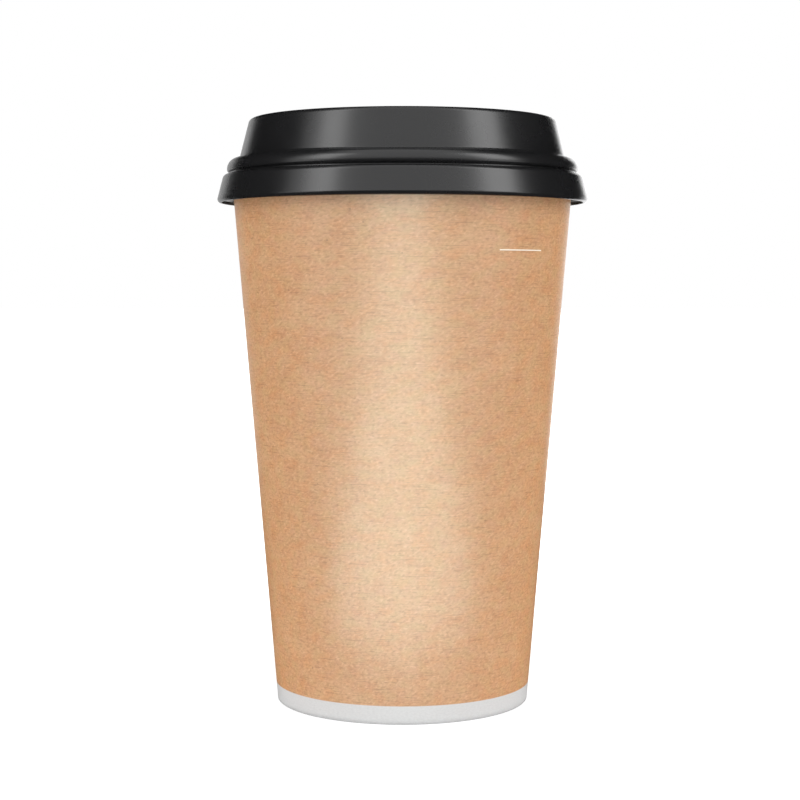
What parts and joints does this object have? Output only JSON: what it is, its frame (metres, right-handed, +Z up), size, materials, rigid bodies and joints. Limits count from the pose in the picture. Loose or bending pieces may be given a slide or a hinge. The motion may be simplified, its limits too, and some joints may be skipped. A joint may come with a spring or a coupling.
{
  "type": "paper cup with sip lid",
  "caption": "Tapered single-wall paper hot cup with a rolled rim, lapped side seam and recessed base, under a black domed lid with a sip hole that lifts off.",
  "frame": {"origin": "centre of the cup's foot ring, on the table", "axes": "+Z up along the cup's axis, -Y towards the sip hole, +Y towards the side seam"},
  "size_m": [0.0934, 0.0934, 0.1474],
  "materials": {
    "kraft_board": "matte",
    "white_board": "matte",
    "black_plastic": "satin"
  },
  "bodies": {
    "cup": {"sidewall": "kraft_board", "base_disc": "white_board"},
    "lid": {"lid": "black_plastic"}
  },
  "joints": [
    {"name": "lid_lift", "type": "slide", "parent": "cup", "child": "lid", "axis": [0, 0, 1], "range_m": [0, 0.04]}
  ]
}
